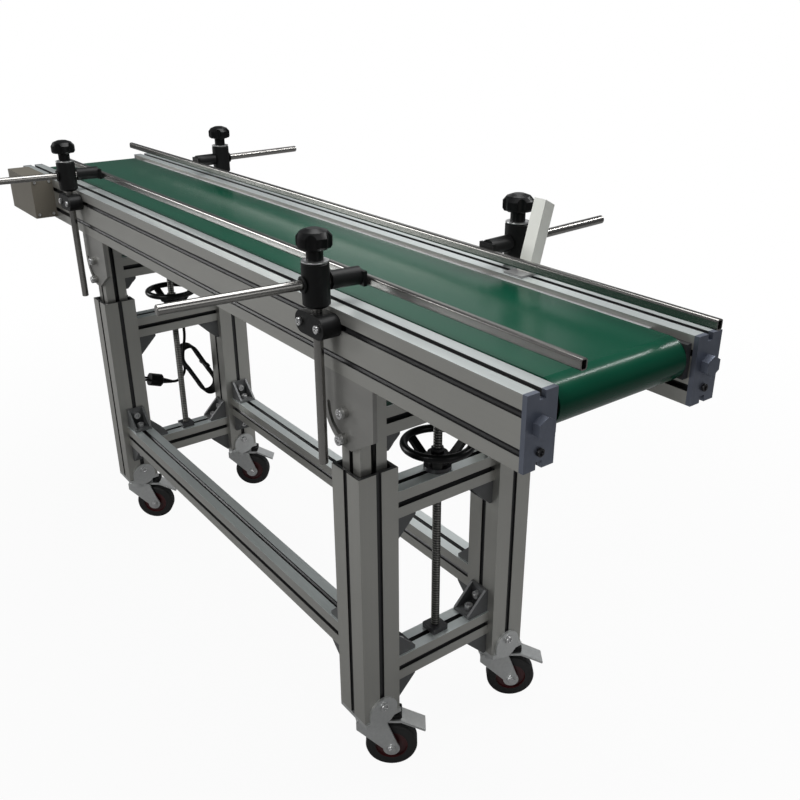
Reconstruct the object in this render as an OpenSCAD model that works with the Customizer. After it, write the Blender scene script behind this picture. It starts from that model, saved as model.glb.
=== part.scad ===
// Mini belt conveyor: a belt deck on two telescoping leg frames with casters, screw lifts and side guides.
// Millimetres. X runs along the belt towards the idler end, Y across it, Z up.
// The origin is on the floor, under the middle of the whole machine.

/* [Deck] */
// Length of the deck over its end plates
deck_len = 1550; // [1400:10:1700]
// Height of the rails' top above the floor
deck_top = 700; // [697:1:715]
// Width of a side rail
rail_w = 40; // [38:1:44]
// Height of a side rail
rail_h = 80; // [76:1:84]
// Clear space between the two rails
rail_gap = 210; // [206:2:230]
// Width of the belt
belt_w = 190; // [150:5:192]
// Thickness of the belt
belt_t = 2; // [1:0.5:3]
// Depth of the belt's top under the rails' top
belt_drop = 4; // [2:1:8]
// Diameter of the two rollers
roller_d = 46; // [36:1:50]
// Diameter of the rollers' shafts
roller_shaft_d = 15; // [10:1:20]
// Distance from the belt's nose back from the deck's end
nose_back = 5; // [2:1:12]
// Thickness of the plates on the rails' ends
end_plate_t = 6; // [4:1:10]

/* [Leg frames] */
// Width of the square outer legs
outer_w = 60; // [58:1:64]
// Wall of the outer legs
outer_wall = 5; // [4:0.5:6]
// Width of the square inner legs
inner_w = 40; // [36:1:42]
// Width and height of the cross beams and long beams
beam_w = 40; // [36:1:44]
// Distance between the two leg frames
frame_pitch = 860; // [760:10:900]
// Middle of the two leg frames, from the middle of the deck
frame_offset = 45; // [20:5:70]
// Distance from the middle to each leg's axis
leg_y = 118; // [114:1:122]
// Height of the outer legs' lower end
leg_foot_z = 106; // [104:1:112]
// Height of the outer legs' upper end
leg_top_z = 493; // [484:1:496]
// Middle height of the upper cross beams
upper_beam_z = 430; // [420:1:434]
// Middle height of the lower cross beams
lower_beam_z = 163; // [158:1:172]
// Middle height of the two long beams
long_beam_z = 210; // [200:1:225]
// Leg length of the corner gussets
gusset_leg = 38; // [32:1:42]
// Width of the corner gussets
gusset_w = 34; // [28:1:36]
// Thickness of the plates under the legs
foot_plate_t = 6; // [4:1:8]

/* [Lift] */
// Middle height of the beams that the screws lift
lift_beam_z = 555; // [550:1:560]
// Diameter of the lead screws
screw_d = 12; // [8:1:14]
// Height of the lead screws' upper end
screw_top_z = 612; // [604:1:614]
// Diameter of the handwheels
wheel_d = 102; // [90:1:110]
// Thickness of a handwheel's rim
rim_d = 11; // [8:1:12]
// Middle height of a handwheel's rim
rim_z = 487; // [484:1:490]
// Number of spokes in a handwheel
spokes = 3; // [3:1:5]

/* [Guides] */
// Place of the guide brackets at the idler end, from the middle of the deck
bracket_near = 443; // [420:1:460]
// Place of the guide brackets at the drive end, from the middle of the deck
bracket_far = -430; // [-460:1:-410]
// Diameter of the guide posts and cross rods
rod_d = 12; // [10:1:12]
// Length of the guide posts
post_len = 220; // [180:5:220]
// Length of the cross rods
cross_rod_len = 242; // [200:1:250]
// Angle by which the cross rods are swung towards the drive end
rod_swing = 5; // [0:1:8]
// Height of the cross rods above the rails' top
rod_rise = 29; // [28:1:32]
// Diameter of the clamp heads
head_d = 33; // [30:1:36]
// Diameter of the star knobs
knob_d = 42; // [38:1:46]
// Number of lobes on a star knob
knob_lobes = 5; // [4:1:6]
// Distance from the middle to each guide rail
guide_y = 94; // [90:1:96]
// Height of a guide rail
guide_h = 12; // [10:1:14]
// Width of a guide rail
guide_w = 9; // [7:1:10]
// Length of the left guide rail
guide_left_len = 1463; // [1300:1:1500]
// Length of the right guide rail
guide_right_len = 1558; // [1400:1:1600]
// Reach of the left guide rail towards the idler end, from the middle of the deck
guide_left_reach = 793; // [760:1:800]
// Reach of the right guide rail towards the idler end, from the middle of the deck
guide_right_reach = 803; // [790:1:830]

/* [Casters] */
// Diameter of the caster wheels
caster_d = 75; // [70:1:76]
// Width of the tyres
tyre_w = 23; // [18:1:25]
// Distance from a caster's swivel to its axle
caster_trail = 30; // [24:1:32]
// Heading of all four casters, from +X towards +Y
caster_turn = 53; // [0:1:90]

/* [Drive] */
// Length of the drive cover
cover_len = 160; // [140:5:180]
// Depth of the drive cover
cover_depth = 42; // [38:1:50]
// Height of the drive cover
cover_h = 78; // [74:1:80]
// Distance from the deck's end to the drive cover
cover_inset = 38; // [20:1:60]
// Place of the control box from the middle of the deck
box_at = 490; // [485:1:520]
// Height of the control box along its lean
box_h = 94; // [80:1:110]
// Width of the control box along the rail
box_w = 20; // [16:1:30]
// Depth of the control box
box_depth = 18; // [14:1:24]
// Lean of the control box away from the belt
box_lean = 15; // [8:1:18]

/* [Mains lead] */
// Diameter of the cord
cord_d = 6; // [5:0.5:6]
// Number of turns in the hank of spare cord
hank_turns = 5; // [3:1:5]
// Diameter of the plug's body
plug_d = 27; // [22:1:30]

/* [Hidden] */
$fn = 48;
eps = 0.01;
// Radial clearance between pieces that move on each other
fit_gap = 0.3;
// Radial clearance between pieces that are fixed to each other
snug = 0.1;
// Radial clearance of a wheel on its axle and of a swivel in its plate
running = 0.05;
sides = [-1, 1];
bolt_head_h = 9;
deck_end = deck_len / 2 + bolt_head_h;
deck_x = (deck_end - guide_right_reach) / 2;
rail_len = deck_len - 2 * end_plate_t;
rail_y = rail_gap / 2 + rail_w / 2;
rail_out_y = rail_gap / 2 + rail_w;
rail_low_z = deck_top - rail_h;
near_leg_x = deck_x + frame_offset + frame_pitch / 2;
far_leg_x = deck_x + frame_offset - frame_pitch / 2;
leg_xs = [near_leg_x, far_leg_x];
slot_w = 8;
slot_lip = 3;
slot_in_w = 15;
slot_in_d = 8;
roller_z = deck_top - belt_drop - belt_t - roller_d / 2;
roller_x = deck_len / 2 - nose_back - belt_t - roller_d / 2;
cavity_w = outer_w - 2 * outer_wall;
inner_foot_lift = 50;
inner_foot_z = leg_foot_z + inner_foot_lift;
inner_top_z = rail_low_z - 8;
plate_t = 6;
upper_top_z = upper_beam_z + beam_w / 2;
lower_top_z = lower_beam_z + beam_w / 2;
bearing_h = 6;
block_h = 9;
screw_foot_z = lower_top_z + 2;
hub_low_z = upper_top_z + bearing_h + fit_gap;
post_y = rail_out_y + 13;
post_xs = [deck_x + bracket_near, deck_x + bracket_far];
clamp_z = deck_top - 20;
clamp_len = 62;
clamp_h = 28;
clamp_depth = 25;
head_low_z = deck_top + 1;
head_h = 53;
post_top_z = head_low_z + 14;
rod_z = deck_top + rod_rise;
knob_stem_h = 16;
knob_h = 22;
guide_z = rod_z - 5;
caster_z = caster_d / 2;
race_low_z = leg_foot_z - foot_plate_t - 8;
cover_x = deck_x - deck_len / 2 + cover_inset;
cover_drop = 75;
cover_low_z = deck_top - cover_drop;
cover_wall = 1.5;
clip_in_y = guide_y + guide_w / 2;
rod_in = post_y - clip_in_y - 4;
kingpin_d = 12;
gland_x = far_leg_x - beam_w / 2 - 8;
gland_y = 30;
gland_low_z = upper_beam_z - 12;
hank_x = gland_x - 7.5;
hank_end_x = hank_x - hank_turns * cord_d;
hank_r = 18;
// Y and Z of the hank's two fold centres
hank_top = [41, 324];
hank_foot = [84, 243];
// The cord from the gland down to the hank, and Y and Z of its run from the hank to the plug
cord_down = [
    [gland_x, 30, 396], [gland_x, 30, 388], [gland_x - 0.5, 30, 378], [gland_x - 2, 29.5, 367],
    [gland_x - 4, 28, 354], [gland_x - 6, 26, 340], [gland_x - 7, 24.5, 328], [hank_x, 25.5, 312]
];
cord_out = [
    [29.5, 307], [34.5, 298], [37.5, 288.5], [36, 278.5], [31.5, 270], [23.5, 263.5], [13.5, 261], [4, 262.5]
];
plug_lean = 70;

// T-slot cut, open towards +Y, with its mouth on the line y = 0
module t_slot() {
    translate([-slot_w / 2, -slot_lip - eps])
        square([slot_w, slot_lip + 1]);
    polygon([
        [-slot_in_w / 2, -slot_lip], [slot_in_w / 2, -slot_lip],
        [slot_in_w / 2, -slot_lip - 2], [slot_w / 2, -slot_in_d],
        [-slot_w / 2, -slot_in_d], [-slot_in_w / 2, -slot_lip - 2]
    ]);
}

// Section of a slotted profile, w across and h up, with slots at side_slots on both upright faces
module profile_2d(w, h, side_slots = [0]) {
    difference() {
        square([w, h], center = true);
        for (s = sides) {
            translate([0, s * h / 2])
                rotate(90 - s * 90)
                t_slot();
            for (z = side_slots)
                translate([s * w / 2, z])
                    rotate(-s * 90)
                    t_slot();
        }
    }
}

// Slotted profile along X, centred on the origin
module profile_x(len, w, h, side_slots = [0]) {
    rotate([90, 0, 90])
        linear_extrude(len, center = true)
        profile_2d(w, h, side_slots);
}

// Slotted beam along Y, centred on the origin
module beam_y(len) {
    rotate([90, 0, 0])
        linear_extrude(len, center = true)
        profile_2d(beam_w, beam_w);
}

// Cylinder along Y, centred on the origin
module rod_y(d, len) {
    rotate([90, 0, 0])
        cylinder(d = d, h = len, center = true);
}

// Upright round bar with chamfered ends
module bar(d, len) {
    rotate_extrude()
        polygon([[0, 0], [d / 2 - 1, 0], [d / 2, 1], [d / 2, len - 1], [d / 2 - 1, len], [0, len]]);
}

// Rectangle with round corners, made of exact arcs
module round_rect(w, h, r) {
    square([w - 2 * r, h], center = true);
    square([w, h - 2 * r], center = true);
    for (x = sides, y = sides)
        translate([x * (w / 2 - r), y * (h / 2 - r)])
            circle(r = r);
}

// Hollow outer leg with a groove down each face
module outer_leg(x, side) {
    len = leg_top_z - leg_foot_z;
    color("#85878a")
    translate([x, side * leg_y, leg_foot_z])
    linear_extrude(len)
    difference() {
        square(outer_w, center = true);
        square(cavity_w, center = true);
        for (turn = [0 : 90 : 270])
            rotate(turn)
            translate([outer_w / 2 - slot_lip, -slot_w / 2])
                square([slot_lip + 1, slot_w]);
    }
}

// Black collars inside the outer legs that the inner legs slide in
module leg_bushes() {
    bush_h = 40;
    color("#161617")
    for (x = leg_xs, s = sides)
        translate([x, s * leg_y, leg_top_z - 18 - bush_h])
        linear_extrude(bush_h)
        difference() {
            square(cavity_w, center = true);
            square(inner_w + 2 * fit_gap, center = true);
        }
}

// Upper and lower cross beam of one leg frame, the upper one drilled for the lead screw
module cross_beams(x) {
    color("#85878a")
    difference() {
        for (z = [upper_beam_z, lower_beam_z])
            translate([x, 0, z])
                beam_y(2 * leg_y - outer_w);
        translate([x, 0, lower_top_z + 1])
            cylinder(d = screw_d + 4 * fit_gap, h = upper_top_z - lower_top_z);
    }
}

module long_beams() {
    color("#85878a")
    for (s = sides)
        translate([(near_leg_x + far_leg_x) / 2, s * leg_y, long_beam_z])
            profile_x(frame_pitch - outer_w, beam_w, beam_w);
}

// Cast angle gusset in the corner between a +X face and a +Z face: two feet and two curved cheeks
module gusset(leg) {
    foot_t = 5;
    cheek_t = 4;
    rotate([90, 0, 0]) {
        linear_extrude(gusset_w, center = true)
            polygon([[0, 0], [leg, 0], [leg, foot_t], [foot_t, foot_t], [foot_t, leg], [0, leg]]);
        for (s = sides)
            translate([0, 0, s * (gusset_w - cheek_t) / 2])
            linear_extrude(cheek_t, center = true)
            difference() {
                polygon([[0, 0], [leg, 0], [leg, foot_t], [foot_t, leg], [0, leg]]);
                translate([leg * 1.3, leg * 1.3])
                    circle(r = leg);
            }
    }
}

// Gussets of one leg frame: on the cross beams, facing the middle, and on the long beams, facing inward along X
module gussets(x, inward) {
    // Each row: height of the beam's face, and whether the gusset hangs under it
    cross_rows = [[upper_beam_z - beam_w / 2, 1], [lower_top_z, 0], [lower_beam_z - beam_w / 2, 1]];
    long_rows = [[long_beam_z + beam_w / 2, 0], [long_beam_z - beam_w / 2, 1]];
    color("#8d9093")
    for (s = sides) {
        for (row = cross_rows)
            translate([x, s * (leg_y - outer_w / 2), row[0]])
                mirror([0, 0, row[1]])
                rotate(-s * 90)
                gusset(gusset_leg);
        for (row = long_rows)
            translate([x + inward * outer_w / 2, s * leg_y, row[0]])
                mirror([0, 0, row[1]])
                rotate(90 - inward * 90)
                gusset(gusset_leg);
    }
}

// Plate and bearing race under each leg, with a round-topped tab up the leg's near face
module foot_brackets() {
    tab_w = outer_w - 14;
    tab_h = 38;
    tab_t = 4;
    race_d = 46;
    race_h = leg_foot_z - race_low_z - foot_plate_t;
    color("#5d6361")
    for (x = leg_xs, s = sides)
        translate([x, s * leg_y, leg_foot_z])
        difference() {
            union() {
                translate([-outer_w / 2, -outer_w / 2, -foot_plate_t])
                    cube([outer_w + tab_t, outer_w, foot_plate_t]);
                translate([0, 0, race_low_z - leg_foot_z])
                    cylinder(d = race_d, h = race_h + eps);
                translate([outer_w / 2, 0, -foot_plate_t])
                    rotate([90, 0, 90])
                    linear_extrude(tab_t) {
                        translate([-tab_w / 2, 0])
                            square([tab_w, tab_h - tab_w / 2]);
                        translate([0, tab_h - tab_w / 2])
                            circle(d = tab_w);
                    }
            }
            translate([0, 0, -2 * race_h])
                cylinder(d = kingpin_d + 2 * running, h = 3 * race_h);
        }
}

// Flanges on the upper beams and blocks on the lower beams in which the lead screws turn
module screw_bearings() {
    flange_d = 38;
    block_w = 26;
    color("#2c2d2f")
    for (x = leg_xs)
        translate([x, 0, 0])
        difference() {
            union() {
                translate([0, 0, upper_top_z])
                    cylinder(d = flange_d, h = bearing_h);
                translate([-block_w / 2, -block_w / 2, lower_top_z])
                    cube([block_w, block_w, block_h]);
            }
            translate([0, 0, screw_foot_z])
                cylinder(d = screw_d + 2 * running, h = hub_low_z - screw_foot_z + 1);
        }
}

module inner_legs(x) {
    color("#8d9093")
    for (s = sides)
        translate([x, s * leg_y, inner_foot_z])
        linear_extrude(inner_top_z - inner_foot_z)
            profile_2d(inner_w, inner_w);
}

// Beams between the inner legs, each drilled for its lead screw
module lift_beams() {
    color("#85878a")
    for (x = leg_xs)
        translate([x, 0, lift_beam_z])
        difference() {
            beam_y(2 * leg_y - inner_w);
            cylinder(d = screw_d + 2 * fit_gap, h = beam_w + 2, center = true);
        }
}

// Short gussets under the lift beams
module lift_gussets() {
    color("#8d9093")
    for (x = leg_xs, s = sides)
        translate([x, s * (leg_y - inner_w / 2), lift_beam_z - beam_w / 2])
            mirror([0, 0, 1])
            rotate(-s * 90)
            gusset(gusset_leg * 0.6);
}

// Angle plates that tie the inner legs to the rail above, each with a pivot bolt, an arc slot and a lock bolt
module tilt_plates(side) {
    reach_in = 49;
    reach_out = 57;
    pivot_drop = 47;
    arc_r = 37;
    arc_w = 7;
    lock_angle = -96;
    out_y = leg_y + inner_w / 2;
    pivot_z = rail_low_z - pivot_drop;
    color("#808285")
    for (x = leg_xs)
        translate([x, 0, 0]) {
            translate([0, side * (out_y + plate_t / 2), pivot_z])
            rotate([90, 0, 0])
            linear_extrude(plate_t, center = true)
            difference() {
                union() {
                    polygon([
                        [-reach_in, pivot_drop], [reach_out, pivot_drop], [reach_out, -20],
                        [10, -reach_in], [0, -reach_in], [0, 0], [-reach_in, 0]
                    ]);
                    intersection() {
                        circle(r = reach_in);
                        translate([-reach_in, -reach_in])
                            square([reach_in + eps, reach_in + eps]);
                    }
                }
                intersection() {
                    difference() {
                        circle(r = arc_r + arc_w / 2);
                        circle(r = arc_r - arc_w / 2);
                    }
                    translate([-2 * arc_r, -2 * arc_r])
                        square(2 * arc_r);
                }
                for (end = [[-arc_r, 0], [0, -arc_r]])
                    translate(end)
                        circle(d = arc_w);
            }
            translate([-reach_in, side > 0 ? rail_gap / 2 : -out_y - plate_t, rail_low_z - plate_t])
                cube([reach_in + reach_out, out_y + plate_t - rail_gap / 2, plate_t]);
            for (angle_r = [[0, 0], [lock_angle, arc_r]])
                translate([angle_r[1] * cos(angle_r[0]), side * (out_y + plate_t), 0])
                translate([0, 0, pivot_z + angle_r[1] * sin(angle_r[0])])
                    rod_y(14, 10);
        }
}

module rail(side) {
    color("#8b8d90")
    translate([deck_x, side * rail_y, deck_top - rail_h / 2])
        profile_x(rail_len, rail_w, rail_h, [-rail_h / 4, rail_h / 4]);
}

// Plates that close the rails' ends, each notched at the slots and holding a belt tension bolt
module end_plates() {
    color("#6f747b")
    for (sx = sides, s = sides)
        translate([deck_x + sx * rail_len / 2, s * rail_y, deck_top - rail_h / 2])
        mirror([sx < 0 ? 1 : 0, 0, 0]) {
            difference() {
                translate([0, -rail_w / 2, -rail_h / 2])
                    cube([end_plate_t, rail_w, rail_h]);
                translate([-1, -slot_w / 2, rail_h / 2 - slot_in_d])
                    cube([end_plate_t + 2, slot_w, slot_in_d + 1]);
                translate([-1, -slot_w / 2, -rail_h / 2 - 1])
                    cube([end_plate_t + 2, slot_w, slot_in_d + 1]);
            }
            translate([end_plate_t - eps, 0, 5])
                rotate([0, 90, 0])
                cylinder(d = 24, h = bolt_head_h + eps, $fn = 6);
        }
}

// Slider bed under the belt, and the ties between the two rails
module deck_bed() {
    bed_t = 3;
    tie_h = 28;
    tie_w = 40;
    bed_len = 2 * (roller_x - roller_d / 2 - 8);
    bed_top_z = roller_z + roller_d / 2;
    color("#8b8c8c")
    translate([deck_x, 0, bed_top_z - bed_t]) {
        translate([-bed_len / 2, -rail_gap / 2, 0])
            cube([bed_len, rail_gap, bed_t]);
        for (x = [-bed_len / 4, 0, bed_len / 4])
            translate([x - tie_w / 2, -rail_gap / 2, -tie_h])
                cube([tie_w, rail_gap, tie_h + eps]);
    }
}

// Take-up blocks in the rails' ends that carry the rollers' shafts
module bearing_blocks() {
    block_t = (rail_gap - belt_w) / 2 - 1.5;
    block_len = 56;
    block_height = 40;
    back = 6;
    color("#232425")
    for (sx = sides, s = sides)
        translate([deck_x + sx * roller_x, s * (rail_gap / 2 - block_t / 2), roller_z])
        difference() {
            translate([-block_len / 2 - sx * back, -block_t / 2, -block_height / 2])
                cube([block_len, block_t, block_height]);
            rod_y(roller_shaft_d + 2 * snug, block_t + 2);
        }
}

module roller(x) {
    color("#9a9c9e")
    translate([x, 0, roller_z]) {
        rod_y(roller_d, belt_w);
        rod_y(roller_shaft_d, rail_gap);
    }
}

// The belt: one closed loop round both rollers
module belt() {
    color("#0d5236")
    translate([deck_x, 0, roller_z])
    rotate([90, 0, 0])
    linear_extrude(belt_w, center = true)
    difference() {
        loop_2d(roller_d / 2 + belt_t);
        loop_2d(roller_d / 2);
    }
}

module loop_2d(r) {
    for (s = sides)
        translate([s * roller_x, 0])
            circle(r = r);
    square([2 * roller_x, 2 * r], center = true);
}

module drive_cover() {
    color("#8a8379")
    translate([cover_x, -rail_out_y - cover_depth, cover_low_z])
    difference() {
        cube([cover_len, cover_depth, cover_h]);
        translate([cover_wall, cover_wall, cover_wall])
            cube([cover_len - 2 * cover_wall, cover_depth - 2 * cover_wall, cover_h - 2 * cover_wall]);
    }
}

// Gearmotor inside the drive cover, as one plain block
module drive_motor() {
    motor_w = 30;
    color("#4a4a4a")
    translate([cover_x + 20, -rail_out_y - cover_wall - motor_w, cover_low_z + 17])
        cube([cover_len - 40, motor_w, 42]);
}

// Control box on a base plate over the right rail's top slot, leaning away from the belt
module control_box() {
    base_t = 3;
    base_w = box_w + 12;
    lean_y = sin(box_lean);
    lean_z = cos(box_lean);
    foot_y = rail_out_y - box_depth / lean_z - 1;
    low_z = deck_top + base_t - eps;
    back_h = box_h - 4;
    color("#c9c9c4")
    translate([deck_x + box_at, 0, 0]) {
        translate([-base_w / 2, rail_out_y - rail_w + 2, deck_top])
            cube([base_w, rail_w - 2, base_t]);
        rotate([90, 0, 90])
        linear_extrude(box_w, center = true)
            polygon([
                [foot_y, low_z], [foot_y + box_h * lean_y, low_z + box_h * lean_z],
                [foot_y + back_h * lean_y + box_depth * lean_z, low_z + back_h * lean_z - box_depth * lean_y],
                [foot_y + box_depth / lean_z, low_z]
            ]);
    }
}

// Black clamp block on the rail's upper outer slot at each bracket, bored for the guide post
module guide_clamps(side) {
    color("#161617")
    for (x = post_xs)
        difference() {
            translate([x, side * (rail_out_y + clamp_depth / 2), clamp_z])
            rotate([90, 0, 0])
            linear_extrude(clamp_depth, center = true)
                round_rect(clamp_len, clamp_h, clamp_h / 2 - eps);
            translate([x, side * post_y, clamp_z])
                cylinder(d = rod_d + 2 * fit_gap, h = clamp_h + 2, center = true);
        }
}

module guide_posts(side) {
    color("#9fa1a1")
    for (x = post_xs)
        translate([x, side * post_y, post_top_z - post_len])
            bar(rod_d, post_len);
}

// Places its children on each post of one side, swung with the cross rods, with +Y pointing outward
module at_posts(side) {
    for (x = post_xs)
        translate([x, side * post_y, 0])
            mirror([0, side < 0 ? 1 : 0, 0])
            rotate(rod_swing)
            children();
}

// Clamp heads on the posts, bored for the cross rods
module guide_heads(side) {
    color("#141415")
    at_posts(side)
    difference() {
        translate([0, 0, head_low_z])
        rotate_extrude()
            polygon([
                [0, 0], [head_d / 2 - 3, 0], [head_d / 2, 3], [head_d / 2, head_h - 2],
                [head_d / 2 - 2, head_h], [0, head_h]
            ]);
        translate([0, 0, head_low_z - 1])
            cylinder(d = rod_d + 2 * snug, h = post_top_z - head_low_z + 1);
        translate([0, 0, rod_z])
            rod_y(rod_d + 2 * fit_gap, head_d + 2);
    }
}

// Star knobs that lock the heads
module guide_knobs(side) {
    notch_d = knob_d * 0.42;
    color("#141415")
    at_posts(side)
    translate([0, 0, head_low_z + head_h])
    difference() {
        rotate_extrude()
            polygon([
                [0, 0], [10, 0], [10, knob_stem_h - 3], [13, knob_stem_h], [knob_d / 2 - 2, knob_stem_h],
                [knob_d / 2, knob_stem_h + 3], [knob_d / 2, knob_stem_h + knob_h - 9],
                [knob_d / 2 - 5, knob_stem_h + knob_h - 3], [8, knob_stem_h + knob_h], [0, knob_stem_h + knob_h]
            ]);
        for (i = [0 : knob_lobes - 1])
            rotate((i + 0.5) * 360 / knob_lobes)
            translate([knob_d / 2 + notch_d * 0.28, 0, knob_stem_h - 1])
                cylinder(d = notch_d, h = knob_h + 2);
    }
}

module cross_rods(side) {
    color("#b4b6b6")
    at_posts(side)
    translate([0, -rod_in, rod_z])
        rotate([-90, 0, 0])
        bar(rod_d, cross_rod_len);
}

// Black clip on each cross rod's inner end, with the flat pad that holds the guide rail
module guide_clips(side) {
    clip_d = 22;
    pad_t = 5;
    color("#1a1a1c")
    difference() {
        union() {
            at_posts(side)
            translate([0, -rod_in - 1, rod_z])
                rotate([-90, 0, 0])
                cylinder(d = clip_d, h = rod_in + 1 - head_d / 2 - 1);
            for (x = post_xs)
                translate([x, side * (clip_in_y + pad_t / 2), rod_z - 2])
                translate([rod_in * sin(rod_swing), 0, 0])
                    cube([26, pad_t, 18], center = true);
        }
        at_posts(side)
        translate([0, -rod_in - eps, rod_z])
            rotate([-90, 0, 0])
            cylinder(d = rod_d + 2 * snug, h = rod_in + head_d);
    }
}

// Hollow rounded guide rail, open at both ends
module guide_rail(side, len, reach) {
    wall = 1.5;
    color("#a9abab")
    translate([deck_x + reach - len / 2, side * guide_y, guide_z])
    rotate([90, 0, 90])
    linear_extrude(len, center = true)
    difference() {
        round_rect(guide_w, guide_h, guide_w / 3);
        round_rect(guide_w - 2 * wall, guide_h - 2 * wall, guide_w / 3 - wall);
    }
}

module lead_screw(x) {
    color("#77797a")
    translate([x, 0, screw_foot_z])
        bar(screw_d, screw_top_z - screw_foot_z);
}

// Dished handwheel pinned to the lead screw, with its small crank handle
module handwheel(x) {
    rim_r = (wheel_d - rim_d) / 2;
    spoke_w = 13;
    spoke_t = 6;
    hub_r = 14;
    hub_h = 18;
    color("#1b1b1d")
    translate([x, 0, 0])
    difference() {
        union() {
            translate([0, 0, hub_low_z])
                cylinder(r = hub_r, h = hub_h);
            translate([0, 0, rim_z])
                rotate_extrude()
                translate([rim_r, 0])
                circle(d = rim_d);
            for (i = [0 : spokes - 1])
                rotate(80 + i * 360 / spokes)
                rotate([90, 0, 0])
                linear_extrude(spoke_w, center = true)
                    polygon([
                        [hub_r - 4, hub_low_z + 4], [hub_r - 4, hub_low_z + 4 + spoke_t],
                        [hub_r + 8, hub_low_z + 4 + spoke_t], [rim_r - 3, rim_z + 2],
                        [rim_r, rim_z - spoke_t / 2 + 1], [hub_r + 10, hub_low_z + 4]
                    ]);
            rotate(35)
            translate([rim_r, 0, rim_z]) {
                cylinder(d = 8, h = 9);
                translate([0, 0, 8])
                    cylinder(d1 = 10, d2 = 12, h = 12);
            }
        }
        translate([0, 0, hub_low_z - 1])
            cylinder(d = screw_d + 2 * snug, h = hub_h + 2);
    }
}

// Swivel fork with its kingpin, axle and brake pedal; drawn heading +X
module fork(x, side) {
    cheek_t = 3;
    inner_gap = tyre_w + 7;
    crown_z = race_low_z - fit_gap;
    crown_low_z = caster_d + 6;
    crown_w = inner_gap + 2 * cheek_t;
    axle_d = 8;
    cheek_r = 12;
    color("#7c8284")
    translate([x, side * leg_y, 0])
    rotate(caster_turn) {
        translate([0, 0, crown_low_z])
            cylinder(d = 44, h = crown_z - crown_low_z);
        translate([-20, -crown_w / 2, crown_low_z])
            cube([44, crown_w, 5]);
        for (s = sides)
            translate([0, s * (inner_gap + cheek_t) / 2, 0])
            rotate([90, 0, 0])
            linear_extrude(cheek_t, center = true) {
                translate([caster_trail, caster_z])
                    circle(r = cheek_r);
                polygon([
                    [-20, crown_low_z + 5], [24, crown_low_z + 5], [caster_trail + cheek_r, caster_z],
                    [caster_trail - cheek_r, caster_z], [-20, crown_low_z - 8]
                ]);
            }
        translate([caster_trail, 0, caster_z])
            rod_y(axle_d, crown_w + 8);
        translate([0, 0, crown_z - 1])
            cylinder(d = kingpin_d, h = leg_foot_z + 2 - crown_z + 1);
        translate([0, 0, leg_foot_z + 1])
            cylinder(d = 20, h = 6);
        rotate([90, 0, 0])
        linear_extrude(28, center = true)
            polygon([
                [20, crown_low_z + 1], [20, crown_low_z + 5], [caster_trail + 14, crown_low_z + 5],
                [caster_trail + caster_d / 2 + 12, crown_low_z - 12],
                [caster_trail + caster_d / 2 + 11, crown_low_z - 15], [caster_trail + 14, crown_low_z + 1]
            ]);
    }
}

// Caster wheel: rounded tyre on a hub with a recess on each side
module caster(x, side) {
    r = caster_d / 2;
    hub_r = r * 0.62;
    half = tyre_w / 2;
    color("#1b1b1c")
    translate([x, side * leg_y, 0])
    rotate(caster_turn)
    translate([caster_trail, 0, caster_z])
    rotate([90, 0, 0])
    rotate_extrude()
        polygon([
            [4 + running, -half], [9, -half], [10, -half + 3], [hub_r - 1, -half + 3], [hub_r, -half],
            [r - 4, -half], [r - 1.2, -half + 1.2], [r, -half + 4], [r, half - 4], [r - 1.2, half - 1.2],
            [r - 4, half], [hub_r, half], [hub_r - 1, half - 3], [10, half - 3], [9, half], [4 + running, half]
        ]);
}

// Gland on the far upper beam's back, with the tapered sleeve round the cord
module cord_clip() {
    gland_w = 16;
    gland_h = 24;
    color("#161617")
    translate([gland_x, gland_y, gland_low_z]) {
        translate([-gland_w / 2, -gland_w / 2, 0])
            cube([gland_w, gland_w, gland_h]);
        rotate_extrude()
            polygon([
                [0, cord_down[0][2] - gland_low_z], [cord_d / 2 + 0.5, cord_down[0][2] - gland_low_z],
                [cord_d, 0], [cord_d, eps], [0, eps]
            ]);
    }
}

// Round tube along points, on which no stretch may run along X
module tube(points, d) {
    corners = 8;
    last = len(points) - 1;
    rings = [
        for (i = [0 : last], k = [0 : corners - 1])
            let (
                run = points[min(i + 1, last)] - points[max(i - 1, 0)],
                a = cross(run, [1, 0, 0]) / norm(cross(run, [1, 0, 0])),
                b = cross(run, a) / norm(run),
                turn = k * 360 / corners
            )
            points[i] + d / 2 * (a * cos(turn) + b * sin(turn))
    ];
    skin = [
        for (i = [0 : last - 1], k = [0 : corners - 1], half = [0, 1])
            let (
                low = i * corners,
                high = low + corners,
                next = (k + 1) % corners
            )
            half == 0 ? [low + k, high + k, high + next] : [low + k, high + next, low + next]
    ];
    caps = [[for (k = [0 : corners - 1]) k], [for (k = [corners - 1 : -1 : 0]) last * corners + k]];
    polyhedron(points = rings, faces = concat(skin, caps));
}

// The cord's two free runs
module power_cord() {
    color("#161617") {
        tube(cord_down, cord_d);
        tube([for (p = cord_out) [hank_end_x, p[0], p[1]]], cord_d);
    }
}

// Spare cord hung up as a hank, as one closed solid
module cord_hank() {
    run = hank_foot - hank_top;
    edge_r = hank_r + cord_d / 2;
    color("#161617")
    translate([hank_end_x - cord_d / 2, 0, 0])
    rotate([90, 0, 90])
    linear_extrude((hank_turns + 1) * cord_d) {
        for (fold = [hank_top, hank_foot])
            translate(fold)
                circle(r = edge_r);
        translate(hank_top)
            rotate(atan2(run[1], run[0]))
            translate([0, -edge_r])
            square([norm(run), 2 * edge_r]);
    }
}

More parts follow.
